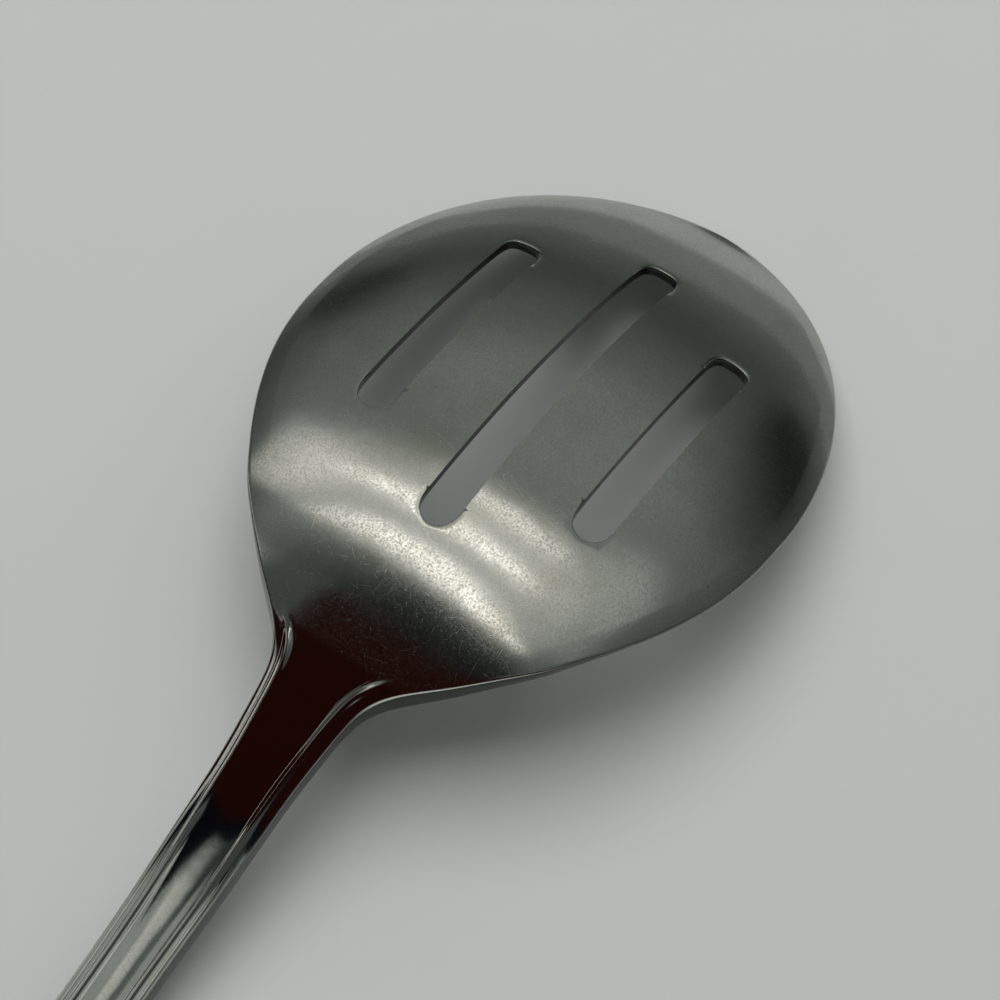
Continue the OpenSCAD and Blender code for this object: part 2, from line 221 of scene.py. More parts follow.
class SpoonFinish(bpy.types.PropertyGroup):
    """Finish of the steel."""
    steel: bpy.props.FloatVectorProperty(
        name="Steel", description="Colour of the clean stainless steel",
        default=linear("#AAAEAB")[:3], size=3, subtype="COLOR", min=0, max=1)
    stain: bpy.props.FloatVectorProperty(
        name="Stain", description="Colour of the steel where it is stained by use",
        default=linear("#A0A39B")[:3], size=3, subtype="COLOR", min=0, max=1)
    satin: bpy.props.FloatProperty(
        name="Satin", description="Roughness of the worn satin bowl",
        default=0.11, subtype="FACTOR", min=0, max=1)
    polish: bpy.props.FloatProperty(
        name="Polish", description="Roughness of the polished neck and handle",
        default=0.07, subtype="FACTOR", min=0, max=1)


class StageLook(bpy.types.PropertyGroup):
    """The table top and the studio light."""
    floor: bpy.props.FloatVectorProperty(
        name="Table top", description="Colour of the pale table top",
        default=linear("#CBCDCB")[:3], size=3, subtype="COLOR", min=0, max=1)
    air: bpy.props.FloatVectorProperty(
        name="Room", description="Colour of the plain room round the table",
        default=linear("#636564")[:3], size=3, subtype="COLOR", min=0, max=1)
    key_power: bpy.props.FloatProperty(
        name="Key lamp", description="Power of the large soft lamp",
        default=6.5, min=0, unit="POWER")
    fill_power: bpy.props.FloatProperty(
        name="Fill lamp", description="Power of the wide overhead lamp",
        default=8.0, min=0, unit="POWER")


class Blank:
    """Works out where each point of the stamped blank lies. Its own x runs from the bowl's middle
    to the tip in the plane of the rim, and laid() puts a point where it lies on the table."""

    def __init__(self, sizes):
        self.s = sizes
        self.tip = MIDDLE_AT * sizes.bowl_length
        self.neck = self.tip - sizes.bowl_length
        self.wide = self.tip - WIDEST_AT * sizes.bowl_length
        self.end = self.neck - sizes.handle_length
        self.round = self.end + sizes.end_round
        self.slot_half = sizes.slot_width / 2
        middle = self.tip - SLOTS_AT * sizes.bowl_length
        self.long_front = middle + sizes.slot_length / 2
        self.long_back = middle - sizes.slot_length / 2
        self.short_front = middle + sizes.outer_slot_share * sizes.slot_length / 2
        self.short_back = middle - sizes.outer_slot_share * sizes.slot_length / 2
        # The net goes a little past the slots, and stops short of the handle's end
        self.margin = 0.36 * sizes.slot_width
        self.front = self.long_front + 1.55 * self.margin
        self.last = self.round - 0.4 * sizes.end_round
        # The lines are read every fifth of a millimetre, from just past one end to just past the other
        self.step = 0.2 * MM
        self.first = self.end - 3 * MM
        self.lines = {}
        for name, spread in (("half_line", 4), ("edge_line", 8), ("thick_line", 8), ("dome_line", 8),
                             ("panel_line", 8)):
            self.lines[name] = self.smooth_line(getattr(self, name), spread)
        self.lay_down()

    # Plain readings of the tables
    def bowl_way(self, x):
        return (self.tip - x) / self.s.bowl_length

    def handle_way(self, x):
        return (self.neck - x) / self.s.handle_length

    def half_line(self, x):
        s = self.s
        bowl, neck, waist, end = s.bowl_width / 2, s.neck_width / 2, s.waist_width / 2, s.end_width / 2
        if x >= self.wide:
            return bowl
        if x >= self.neck:
            return neck + (bowl - neck) * read(SHOULDER, (self.wide - x) / (self.wide - self.neck))
        way = (self.neck - x) / (self.neck - self.round)
        if way < WAIST_END:
            return waist + (neck - waist) * read(WAIST, way)
        return waist + (end - waist) * read(FLARE, way)

    def edge_line(self, x):
        if x >= self.neck:
            return self.s.handle_drop * read(RIM, self.bowl_way(x))
        return self.s.handle_drop * read(ARCH, self.handle_way(x))

    def thick_line(self, x):
        s = self.s
        if x >= self.neck:
            return mix(s.sheet_thickness, s.stem_thickness, read(SWELL, self.bowl_way(x)))
        return s.stem_thickness * read(STEM, self.handle_way(x))

    def dome_line(self, x):
        return self.s.bowl_crown * read(CROWN, self.bowl_way(x)) if x >= self.neck else 0.0

    def panel_line(self, x):
        return self.s.panel_crown * read(PANEL, self.handle_way(x)) if x < self.neck else 0.0

    def smooth_line(self, source, spread):
        """Samples a reading at every step and softens its joints over a few steps, so that light
        runs along the polished steel without a break."""
        count = int((self.tip + 3 * MM - self.first) / self.step) + 2
        plain = [source(min(self.tip, max(self.end, self.first + k * self.step))) for k in range(count)]
        weights = [math.exp(-0.5 * (k / spread) ** 2) for k in range(-3 * spread, 3 * spread + 1)]
        total = sum(weights)
        soft = []
        for k in range(count):
            value = 0.0
            for j, weight in enumerate(weights):
                value += weight * plain[min(count - 1, max(0, k + j - 3 * spread))]
            soft.append(value / total)
        return soft

    def look_up(self, name, x):
        place = (x - self.first) / self.step
        k = min(len(self.lines[name]) - 2, max(0, int(place)))
        return mix(self.lines[name][k], self.lines[name][k + 1], place - k)

    # Outline
    def half_width(self, x):
        if x >= self.wide:
            u = min(1.0, (x - self.wide) / (self.tip - self.wide))
            return self.s.bowl_width / 2 * max(0.0, 1 - u ** NOSE_FORM) ** (1 / NOSE_FORM)
        if x >= self.round:
            return self.look_up("half_line", x)
        u = min(1.0, (self.round - x) / self.s.end_round)
        return self.s.end_width / 2 * math.sqrt(max(0.0, 1 - u * u))

    def nose(self, angle, side):
        """A point of the bowl's front outline."""
        return Vector((self.wide + (self.tip - self.wide) * math.cos(angle) ** (2 / NOSE_FORM),
                       side * self.s.bowl_width / 2 * math.sin(angle) ** (2 / NOSE_FORM)))

    def heel(self, angle, side):
        """A point of the handle's rounded end."""
        return Vector((self.round - self.s.end_round * math.cos(angle),
                       side * self.s.end_width / 2 * math.sin(angle)))

    def outline(self):
        """The whole outline as a close row of points, one side after the other."""
        points = []
        for side in (1, -1):
            one = [self.nose(math.radians(90 * k / 240), side) for k in range(240)]
            count = int((self.wide - self.round) / self.step)
            for k in range(count):
                x = mix(self.wide, self.round, k / count)
                one.append(Vector((x, side * self.half_width(x))))
            one += [self.heel(math.radians(90 - 90 * k / 60), side) for k in range(61)]
            points += one if side > 0 else one[::-1]
        return points

    # Surfaces
    def round_off(self, x):
        """Radius of the rim's edges."""
        return min(0.16 * self.look_up("thick_line", x), 0.1 * self.s.border_width)

    def undercut(self, x):
        """How far the cut edge, which stands square to the sheet, leans in below the rim. The
        lean is the slope of the rolled rim."""
        if x <= self.neck:
            return 0.0
        lean = steepest = 0.4
        if x < self.wide:
            slope = ROLL_SHARE * ROLL_FORM * self.look_up("dome_line", x) / self.half_width(x)
            lean = min(steepest, slope)
        return min(0.3 * self.s.border_width - self.round_off(x), lean * self.look_up("thick_line", x))

    def edge_drop(self, x, inset):
        """How far the rounded edge has fallen away at an inset."""
        r = self.round_off(x)
        return 0.0 if inset >= r else r - math.sqrt(max(0.0, r * r - (r - inset) ** 2))

    def swell(self, x, y):
        """The bowl's section, a soft crown with its edge rolled down more steeply."""
        w = self.half_width(x)
        t = 1.0 if w <= 0 else min(1.0, abs(y) / w)
        return ((1 - ROLL_SHARE) * max(0.0, 1 - t ** CROWN_FLAT) ** CROWN_FALL
                + ROLL_SHARE * (1 - t ** ROLL_FORM))

    def panel(self, x, y):
        """Rise of the handle's middle panel."""
        w = self.half_width(x) - 0.8 * self.s.border_width
        return 0.0 if w <= 0 else self.look_up("panel_line", x) * max(0.0, 1 - (y / w) ** 2)

    def threads(self, x, inset):
        """The stamped border of the handle: a rounded ridge at the neck that narrows to a thread
        between two fine grooves, and a flange outside it that falls away to the edge."""
        s = self.s
        # They rise out of the bowl just before the neck, and are fine from a fifth of the handle on
        fade = ease((self.bowl_way(x) - 0.955) / 0.045)
        if fade == 0 or inset > 2 * s.border_width:
            return 0.0
        fine = ease((self.handle_way(x) - 0.1) / 0.1)
        groove = 0.08 * s.border_width
        ridge = mix(1.0, 0.6, fine) * bump(inset, RIDGE * s.border_width,
                                           mix(0.19, 0.11, fine) * s.border_width)
        flank = mix(0.8, 0.3, fine) * max(0.0, 1 - inset / (0.5 * s.border_width)) ** 2
        outer = mix(0.4, 1.0, fine) * bump(inset, OUTER_GROOVE * s.border_width, groove)
        inner = fine * bump(inset, INNER_GROOVE * s.border_width, groove)
        return fade * (s.thread_height * (ridge - flank) - s.groove_depth * (outer + inner))

    def top(self, x, y, inset):
        """Height of the upper side over the rim plane."""
        return (self.look_up("edge_line", x) + self.look_up("thick_line", x) / 2
                + self.look_up("dome_line", x) * self.swell(x, y) + self.panel(x, y)
                + self.threads(x, inset) - self.edge_drop(x, inset))

    def under(self, x, y, inset):
        """Height of the underside, where the threads show at about a third of their height."""
        return (self.look_up("edge_line", x) - self.look_up("thick_line", x) / 2
                + self.look_up("dome_line", x) * self.swell(x, y)
                - 0.35 * self.threads(x, inset) + self.edge_drop(x, inset))

    def lay_down(self):
        """Leans the spoon until it lies on its tip and on the handle's arch. The lowest places of
        both are sought on the underside, at the tip's middle and along the border's ridges."""
        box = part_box("spoon")
        cut = self.undercut(self.tip)
        tip_low = []
        arch_low = []
        for k in range(60):
            x = self.tip - cut - 0.1 * MM * k
            tip_low.append((x, self.under(x, 0, self.tip - cut - x)))
        count = 300
        for k in range(count):
            x = mix(self.round, self.neck - 0.3 * self.s.handle_length, k / count)
            w = self.half_width(x)
            for share in (0.1, FLANGE, RIDGE, NET_EDGE):
                inset = share * self.s.border_width
                arch_low.append((x, self.under(x, w - inset, inset)))
        slope = max(min((a[1] - b[1]) / (a[0] - b[0]) for a in tip_low) for b in arch_low)
        self.lean = math.atan(slope)
        turn = Matrix.Rotation(self.lean, 3, "Y")
        lows = [(turn @ Vector((x, 0, z))) for x, z in tip_low + arch_low]
        ends = [turn @ Vector((self.tip, 0, self.look_up("edge_line", self.tip))),
                turn @ Vector((self.end, 0, self.look_up("edge_line", self.end)))]
        middle = (ends[0].x + ends[1].x) / 2
        self.turn = turn
        self.shift = Vector(((box[0][0] + box[1][0]) / 2 - middle, 0,
                             box[0][2] - min(p.z for p in lows)))

    def laid(self, point):
        return self.turn @ Vector(point) + self.shift

    def lifted(self, point):
        """The blank's own place of a point that lies on the table."""
        return self.turn.inverted() @ (Vector(point) - self.shift)

    # The net of control points
    def rows(self):
        """Where the net's rows run across the spoon, from the front of the slots to the end."""
        def steps(a, b, count):
            return [mix(a, b, k / count) for k in range(count)]
        c, h = self.s.slot_corner, self.s.slot_heel
        body = self.neck - self.round
        return (steps(self.front, self.long_front, 2)
                + steps(self.long_front, self.long_front - c, 1)
                + steps(self.long_front - c, self.short_front, 2)
                + steps(self.short_front, self.short_front - c, 1)
                + steps(self.short_front - c, self.short_back + h, 10)
                + steps(self.short_back + h, self.short_back, 1)
                + steps(self.short_back, self.long_back + h, 3)
                + steps(self.long_back + h, self.long_back, 1)
                + steps(self.long_back, self.neck, 10)
                + steps(self.neck, self.neck - 0.18 * body, 10)
                + steps(self.neck - 0.18 * body, self.neck - 0.45 * body, 8)
                + steps(self.neck - 0.45 * body, self.round, 12)
                + steps(self.round, self.last, 2) + [self.last])

    def columns(self):
        """Where the net's columns run beside the slots, from the middle line out to one side."""
        s = self.s
        rib = (s.slot_pitch - 2 * self.slot_half) / 3
        return [0, self.slot_half - s.slot_corner, self.slot_half, self.slot_half + rib,
                self.slot_half + 2 * rib, s.slot_pitch - self.slot_half,
                s.slot_pitch - self.slot_half + s.slot_corner,
                s.slot_pitch + self.slot_half - s.slot_corner, s.slot_pitch + self.slot_half,
                s.slot_pitch + self.slot_half + self.margin]

    def core_edge(self, x):
        """Half width of the net inside its border rings."""
        full = self.columns()[-1]
        band = NET_EDGE * self.s.border_width
        ends = self.short_front + 0.7 * self.margin
        back = self.short_back - 0.7 * self.margin
        if x > ends:
            return full * (1 - 0.28 * ((x - ends) / (self.front - ends)) ** 2)
        if x > back:
            return full
        if x > self.neck:
            gap = mix(self.half_width(back) - full, band, ease((back - x) / (back - self.neck)))
            return self.half_width(x) - gap
        if x >= self.round:
            return self.half_width(x) - band
        return ((self.s.end_width / 2 - band)
                * (1 - 0.25 * ((self.round - x) / (self.round - self.last)) ** 2))

    def column_y(self, column, x):
        """Where a column runs. Those that carry a slot's corners close in towards its round heel."""
        s, widths = self.s, self.columns()
        long_share = ease((self.long_front - x) / (self.long_front - self.long_back))
        short_share = ease((self.short_front - x) / (self.short_front - self.short_back))
        near, far = OUTER_SIDES
        shift = {MIDDLE_SIDE - 1: -long_share, near + 1: short_share, far - 1: -short_share}
        y = widths[column] + (s.slot_heel - s.slot_corner) * shift.get(column, 0.0)
        edge = self.core_edge(x)
        if column == 0:
            return 0.0
        if column > MIDDLE_SIDE:
            return y / widths[-1] * edge
        straight = self.long_back - 0.7 * self.margin
        if x >= straight:
            return y
        share = ease((straight - x) / (straight - self.neck))
        return mix(y, column / (len(widths) - 1) * edge, share)

    def rim_point(self, row, x, place, side):
        """The outline point that belongs to a place on the core's own edge."""
        last_row = len(self.rows()) - 1
        if row == 0:
            return self.nose(math.radians(40 * place), side)
        if row == last_row:
            return self.heel(math.radians(45 * place), side)
        if x > self.wide:
            u = (x - self.wide) / (self.front - self.wide)
            return self.nose(math.radians(90 - 50 * (0.75 * u + 0.25 * u * u)), side)
        if x < self.round:
            w = (self.round - x) / (self.round - self.last)
            return self.heel(math.radians(90 - 45 * w), side)
        return Vector((x, side * self.half_width(x)))


def deselect_all():
    bpy.ops.object.select_all(action="DESELECT")
    bpy.context.view_layer.objects.active = None


def settings():
    scene = bpy.context.scene
    return scene.spoon_sizes, scene.spoon_finish, scene.spoon_stage


def edit_net(piece):
    """The piece's mesh, open in edit mode."""
    return bmesh.from_edit_mesh(piece.data)


def node(tree, kind, links=None, **values):
    """Adds a node. Values set its own settings, and links fill its inputs by name or number with
    either a socket or a plain value."""
    made = tree.nodes.new(kind)
    for name, value in values.items():
        setattr(made, name, value)
    for name, value in (links or {}).items():
        if isinstance(value, bpy.types.NodeSocket):
            tree.links.new(value, made.inputs[name])
        else:
            made.inputs[name].default_value = value
    return made


def new_material(name):
    """An empty material with its output, and the shader that feeds it."""
    made = bpy.data.materials.new(name)
    made.use_nodes = True
    made.node_tree.nodes.clear()
    shader = node(made.node_tree, "ShaderNodeBsdfPrincipled")
    node(made.node_tree, "ShaderNodeOutputMaterial", {"Surface": shader.outputs["BSDF"]})
    return made, made.node_tree, shader


def worn_stainless_steel(finish):
    """Stainless steel, drawn satin in the bowl and buffed bright on the neck and handle. The grain
    mottles it, hairlines catch the light, and faint stains and pits show its long use. Its cut walls
    carry painted shade."""
    made, tree, shader = new_material("worn_stainless_steel")
    place = node(tree, "ShaderNodeTexCoord").outputs["Object"]
    along = node(tree, "ShaderNodeAttribute", attribute_name="along").outputs["Fac"]
    # The cut walls, which get painted shade below
    cut = node(tree, "ShaderNodeAttribute", attribute_name="cut").outputs["Fac"]

    # The buffed part begins at the pressed line across the neck, 47 mm behind the bowl's middle
    buffed = node(tree, "ShaderNodeMapRange", {
        "Value": along, "From Min": -0.0464, "From Max": -0.0474}, interpolation_type="SMOOTHSTEP")

    # Stains and finger marks, 6 to 20 mm across
    stain = node(tree, "ShaderNodeTexNoise", {"Vector": place, "Scale": 90, "Detail": 4,
                                              "Roughness": 0.6})
    smear = node(tree, "ShaderNodeMapRange", {"Value": stain.outputs["Fac"], "From Min": 0.42,
                                              "From Max": 0.68})
    # Mottled grain of the satin, drawn 0.25 mm coarse, and the slow waves of hand polishing, 6 mm
    grain = node(tree, "ShaderNodeTexNoise", {"Vector": place, "Scale": 4000, "Detail": 2,
                                              "Roughness": 0.6})
    speck = node(tree, "ShaderNodeMapRange", {"Value": grain.outputs["Fac"], "From Min": 0.47,
                                              "From Max": 0.72})
    speckle = node(tree, "ShaderNodeMapRange", {"Value": grain.outputs["Fac"], "From Min": 0.32,
                                                "From Max": 0.68})
    waves = node(tree, "ShaderNodeTexNoise", {"Vector": place, "Scale": 160, "Detail": 2})

    # Pits, each a dark dot about 0.25 mm across, where a cell of 5 mm has its middle on the surface
    pits = node(tree, "ShaderNodeTexVoronoi", {"Vector": place, "Scale": 200})
    pit = node(tree, "ShaderNodeMapRange", {"Value": pits.outputs["Distance"], "From Min": 0.035,
                                            "From Max": 0.015})
    scratches = scratch_net(tree, place)

    # The satin shows its grain and scratches more than the buffed steel does
    worn = node(tree, "ShaderNodeMapRange", {"Value": buffed.outputs["Result"], "To Min": 1.0,
                                             "To Max": 0.3})
    rough = node(tree, "ShaderNodeMapRange", {"Value": buffed.outputs["Result"],
                                              "To Min": finish.satin, "To Max": finish.polish})
    marks = node(tree, "ShaderNodeMath", {0: speck.outputs["Result"], 1: 0.11}, operation="MULTIPLY")
    marks = node(tree, "ShaderNodeMath", {0: scratches, 1: 0.24, 2: marks.outputs["Value"]},
                 operation="MULTIPLY_ADD")
    marks = node(tree, "ShaderNodeMath", {0: smear.outputs["Result"], 1: 0.03,
                                          2: marks.outputs["Value"]}, operation="MULTIPLY_ADD")
    rough = node(tree, "ShaderNodeMath", {0: marks.outputs["Value"], 1: worn.outputs["Result"],
                                          2: rough.outputs["Result"]}, operation="MULTIPLY_ADD")
    colour = node(tree, "ShaderNodeMix", {"Factor": smear.outputs["Result"],
                                          "A": (*finish.steel, 1), "B": (*finish.stain, 1)},
                  data_type="RGBA")
    shade = node(tree, "ShaderNodeMapRange", {"Value": speckle.outputs["Result"], "To Min": 0.12,
                                              "To Max": -0.12})
    shade = node(tree, "ShaderNodeMath", {0: shade.outputs["Result"], 1: worn.outputs["Result"],
                                          2: 1.0}, operation="MULTIPLY_ADD")
    shade = node(tree, "ShaderNodeMath", {0: pit.outputs["Result"], 1: -0.5,
                                          2: shade.outputs["Value"]}, operation="MULTIPLY_ADD")
    # The walls that the punch left, round the slots and at the rim's edge, get painted shade: their
    # colour falls to 0.12 of the steel's
    painted_wall_shade = node(tree, "ShaderNodeMapRange", {"Value": cut, "From Min": 0.02, "From Max": 0.12,
                                             "To Min": 1.0, "To Max": 0.12})
    shade = node(tree, "ShaderNodeMath", {0: shade.outputs["Value"], 1: painted_wall_shade.outputs["Result"]},
                 operation="MULTIPLY")
    colour = node(tree, "ShaderNodeVectorMath", {0: colour.outputs["Result"],
                                                 "Scale": shade.outputs["Value"]}, operation="SCALE")
    height = node(tree, "ShaderNodeMath", {0: grain.outputs["Fac"], 1: worn.outputs["Result"]},
                  operation="MULTIPLY")
    height = node(tree, "ShaderNodeMath", {0: scratches, 1: -0.5, 2: height.outputs["Value"]},
                  operation="MULTIPLY_ADD")
    relief = node(tree, "ShaderNodeBump", {"Height": height.outputs["Value"], "Strength": 0.5,
                                           "Distance": 0.000003})
    relief = node(tree, "ShaderNodeBump", {"Height": waves.outputs["Fac"], "Strength": 0.5,
                                           "Distance": 0.00006, "Normal": relief.outputs["Normal"]})
    shader.inputs["Metallic"].default_value = 1.0
    tree.links.new(colour.outputs["Vector"], shader.inputs["Base Color"])
    tree.links.new(rough.outputs["Value"], shader.inputs["Roughness"])
    tree.links.new(relief.outputs["Normal"], shader.inputs["Normal"])
    return made


def scratch_net(tree, place):
    """Hairline scratches that lie every way, one in a cell of each layer, and bend a little with a
    slow noise. A layer has its cell, the half length and half width of its scratches, in mm. Real
    hairlines are finer, and these are as wide as they have to be to show."""
    drift = node(tree, "ShaderNodeTexNoise", {"Vector": place, "Scale": 60, "Detail": 1})
    bent = node(tree, "ShaderNodeVectorMath", {0: drift.outputs["Color"], "Scale": 0.005},
                operation="SCALE")
    scratches = None
    for k, (cell, length, wide) in enumerate(((0.8, 0.55, 0.012), (1.3, 1.0, 0.013), (2.1, 1.7, 0.014),
                                              (3.4, 2.8, 0.016), (7.0, 5.0, 0.024))):
        moved = node(tree, "ShaderNodeVectorMath", {0: place, 1: bent.outputs["Vector"]},
                     operation="ADD")
        moved = node(tree, "ShaderNodeVectorMath", {0: moved.outputs["Vector"],
                                                    1: (0.0031 * k, 0.0017 * k, 0)}, operation="ADD")
        spot = node(tree, "ShaderNodeTexVoronoi", {"Vector": moved.outputs["Vector"],
                                                   "Scale": 1 / (cell * MM)},
                    voronoi_dimensions="2D")
        local = node(tree, "ShaderNodeVectorMath", {0: moved.outputs["Vector"],
                                                    1: spot.outputs["Position"]}, operation="SUBTRACT")
        chance = node(tree, "ShaderNodeSeparateColor", {"Color": spot.outputs["Color"]})
        way = node(tree, "ShaderNodeMath", {0: chance.outputs["Red"], 1: 6.28}, operation="MULTIPLY")
        turned = node(tree, "ShaderNodeVectorRotate", {
            "Vector": local.outputs["Vector"], "Angle": way.outputs["Value"]}, rotation_type="Z_AXIS")
        parts = node(tree, "ShaderNodeSeparateXYZ", {0: turned.outputs["Vector"]})
        along_it = node(tree, "ShaderNodeMath", {0: parts.outputs["X"]}, operation="ABSOLUTE")
        across_it = node(tree, "ShaderNodeMath", {0: parts.outputs["Y"]}, operation="ABSOLUTE")
        ends = node(tree, "ShaderNodeMapRange", {"Value": along_it.outputs["Value"],
                                                 "From Min": length * MM,
                                                 "From Max": 0.2 * length * MM})
        line = node(tree, "ShaderNodeMapRange", {"Value": across_it.outputs["Value"],
                                                 "From Min": wide * MM, "From Max": 0.3 * wide * MM})
        line = node(tree, "ShaderNodeMath", {0: line.outputs["Result"], 1: ends.outputs["Result"]},
                    operation="MULTIPLY")
        faint = node(tree, "ShaderNodeMath", {0: chance.outputs["Green"], 1: 1.6}, operation="POWER")
        line = node(tree, "ShaderNodeMath", {0: line.outputs["Value"], 1: faint.outputs["Value"]},
                    operation="MULTIPLY")
        if scratches is None:
            scratches = line.outputs["Value"]
        else:
            scratches = node(tree, "ShaderNodeMath", {0: scratches, 1: line.outputs["Value"]},
                             operation="MAXIMUM").outputs["Value"]
    return scratches


class SPOON_OT_blank(bpy.types.Operator):
    """Makes the spoon from one sheet: a net over the bowl and handle, its border, its slots and its
    underside"""
    bl_idname = "spoon.blank"
    bl_label = "Spoon"

    def execute(self, context):
        sizes, finish, _ = settings()
        blank = Blank(sizes)
        deselect_all()
        piece = self.net(blank)
        self.border(piece, blank)
        self.underside(piece)
        self.settle(piece, blank)
        self.soften_slots(piece, blank)
        self.finish(piece, blank)
        piece.data.materials.append(worn_stainless_steel(finish))
        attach(piece, "root")
        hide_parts("spoon")
        return {"FINISHED"}

    def net(self, blank):
        """The net inside the border, with the cells of the slots left out."""
        rows, widths = blank.rows(), blank.columns()
        side, last = len(widths) - 1, len(rows) - 1
        bpy.ops.mesh.primitive_grid_add(x_subdivisions=last, y_subdivisions=2 * side, size=2)
        piece = bpy.context.object
        piece.name = "spoon_blank"
        piece.data.name = "spoon_blank"
        bpy.ops.object.mode_set(mode="EDIT")
        mesh = edit_net(piece)
        row_of = mesh.verts.layers.int.new("row")
        column_of = mesh.verts.layers.int.new("column")
        near, far = OUTER_SIDES
        for v in mesh.verts:
            i = round((1 - v.co.x) / 2 * last)
            j = round(v.co.y * side)
            v[row_of], v[column_of] = i, j
            a, x = abs(j), rows[i]
            ends = LONG_ROWS if a == MIDDLE_SIDE else SHORT_ROWS if a in OUTER_SIDES else ()
            shift = 0 if i not in ends else -1 if i == ends[0] else 1
            move = CORNER_CUT * (blank.s.slot_corner if shift < 0 else blank.s.slot_heel)
            y = blank.column_y(a, x)
            if shift:
                y += move if a == near else -move
            v.co = (x + shift * move, math.copysign(y, j) if j else 0.0, 0)
        bpy.ops.mesh.select_all(action="DESELECT")
        for face in mesh.faces:
            i = min(v[row_of] for v in face.verts)
            j = min(v[column_of] for v in face.verts)
            middle = LONG_ROWS[0] <= i < LONG_ROWS[1] and -MIDDLE_SIDE <= j < MIDDLE_SIDE
            outer = near <= j < far or -far <= j < -near
            face.select_set(middle or (outer and SHORT_ROWS[0] <= i < SHORT_ROWS[1]))
        bmesh.update_edit_mesh(piece.data)
        bpy.ops.mesh.delete(type="FACE")
        bpy.ops.object.mode_set(mode="OBJECT")
        return piece

    def border(self, piece, blank):
        """Rings drawn out from the net to the outline, at the same insets all the way round. The
        last three make the rounded edge of the rim."""
        rows, widths = blank.rows(), blank.columns()
        side, last = len(widths) - 1, len(rows) - 1
        border = blank.s.border_width
        bpy.ops.object.mode_set(mode="EDIT")
        mesh = edit_net(piece)
        row_of = mesh.verts.layers.int["row"]
        column_of = mesh.verts.layers.int["column"]
        inset_of = mesh.verts.layers.float.new("inset")
        side_of = mesh.verts.layers.float.new("upper")
        targets = {}
        starts = {}
        for v in mesh.verts:
            i, j = v[row_of], v[column_of]
            v[inset_of] = 4 * border
            v[side_of] = 1.0
            if i in (0, last) or abs(j) == side:
                place = abs(v.co.y) / blank.core_edge(rows[i])
                targets[(i, j)] = blank.rim_point(i, rows[i], place, 1 if j >= 0 else -1)
                starts[(i, j)] = v.co.copy()
        for edge in mesh.edges:
            a, b = edge.verts
            outer = all((v[row_of] in (0, last) or abs(v[column_of]) == side) for v in (a, b))
            edge.select_set(edge.is_boundary and outer)
        bmesh.update_edit_mesh(piece.data)
        for ring in range(len(RINGS) + 3):
            bpy.ops.mesh.extrude_edges_move()
            mesh = edit_net(piece)
            row_of = mesh.verts.layers.int["row"]
            column_of = mesh.verts.layers.int["column"]
            inset_of = mesh.verts.layers.float["inset"]
            for v in mesh.verts:
                if not v.select:
                    continue
                key = (v[row_of], v[column_of])
                rim, start = targets[key], starts[key]
                far = (Vector((rim.x, rim.y, 0)) - start).length
                r = blank.round_off(rim.x)
                if ring == 0:
                    inset = (border + far) / 2
                elif ring < len(RINGS):
                    inset = RINGS[ring] * border
                else:
                    inset = (r, 0.3 * r, 0.0)[ring - len(RINGS)]
                inward = (start - Vector((rim.x, rim.y, 0))) / far
                v.co = Vector((rim.x, rim.y, 0)) + inward * inset
                v[inset_of] = inset
            bmesh.update_edit_mesh(piece.data)
        bpy.ops.object.mode_set(mode="OBJECT")

    def underside(self, piece):
        """The whole sheet drawn down, which also makes the rim and slot walls. The depth is a
        start, since settle() sets every height."""
        depth = 0.0013
        bpy.ops.object.mode_set(mode="EDIT")
        bpy.ops.mesh.select_all(action="SELECT")
        bpy.ops.mesh.extrude_region_move(TRANSFORM_OT_translate={"value": (0, 0, -depth)})
        mesh = edit_net(piece)
        side_of = mesh.verts.layers.float["upper"]
        for v in mesh.verts:
            if v.co.z < -depth / 2:
                v[side_of] = 0.0
        bmesh.update_edit_mesh(piece.data)
        bpy.ops.mesh.select_all(action="SELECT")
        bpy.ops.mesh.normals_make_consistent(inside=False)
        mesh = edit_net(piece)
        crease = mesh.edges.layers.float.new("crease_edge")
        for edge in self.slot_edges(mesh):
            edge[crease] = 1.0
        bmesh.update_edit_mesh(piece.data)
        bpy.ops.object.mode_set(mode="OBJECT")

    def slot_edges(self, mesh):
        """The edges round the slots, above and below."""
        inset_of = mesh.verts.layers.float["inset"]
        side_of = mesh.verts.layers.float["upper"]
        clear_of_border = 0.004
        found = []
        for edge in mesh.edges:
            a, b = edge.verts
            inner = min(a[inset_of], b[inset_of]) > clear_of_border
            level = abs(a[side_of] - b[side_of]) < 0.01 and not 0.01 < a[side_of] < 0.99
            if inner and level and len(edge.link_faces) == 2 and edge.calc_face_angle() > 0.9:
                found.append(edge)
        return found

    def smooth_once(self, piece):
        deselect_all()
        piece.select_set(True)
        bpy.context.view_layer.objects.active = piece
        finer = piece.modifiers.new("finer", "SUBSURF")
        finer.levels = 1
        finer.render_levels = 1
        bpy.ops.object.modifier_apply(modifier=finer.name)

    def settle(self, piece, blank):
        """Rounds the net once, draws its border back to the outline and sets every height."""
        self.smooth_once(piece)
        outline = blank.outline()
        tree = KDTree(len(outline))
        for k, point in enumerate(outline):
            tree.insert((point.x, point.y, 0), k)
        tree.balance()
        data = piece.data
        insets = data.attributes["inset"].data
        uppers = data.attributes["upper"].data
        for v in data.vertices:
            inset, upper = insets[v.index].value, uppers[v.index].value
            x, y = v.co.x, v.co.y
            if inset < 1.05 * blank.s.border_width:
                rim, inward = nearest(outline, tree, x, y)
                lean_in = max(0.0, 1 - inset / (FLANGE * blank.s.border_width))
                far = inset + blank.undercut(rim.x) * lean_in * (1 - upper)
                x, y = rim.x + inward.x * far, rim.y + inward.y * far
            low = blank.under(x, y, inset)
            high = blank.top(x, y, inset)
            v.co = blank.laid((x, y, mix(low, high, upper)))
        data.update()

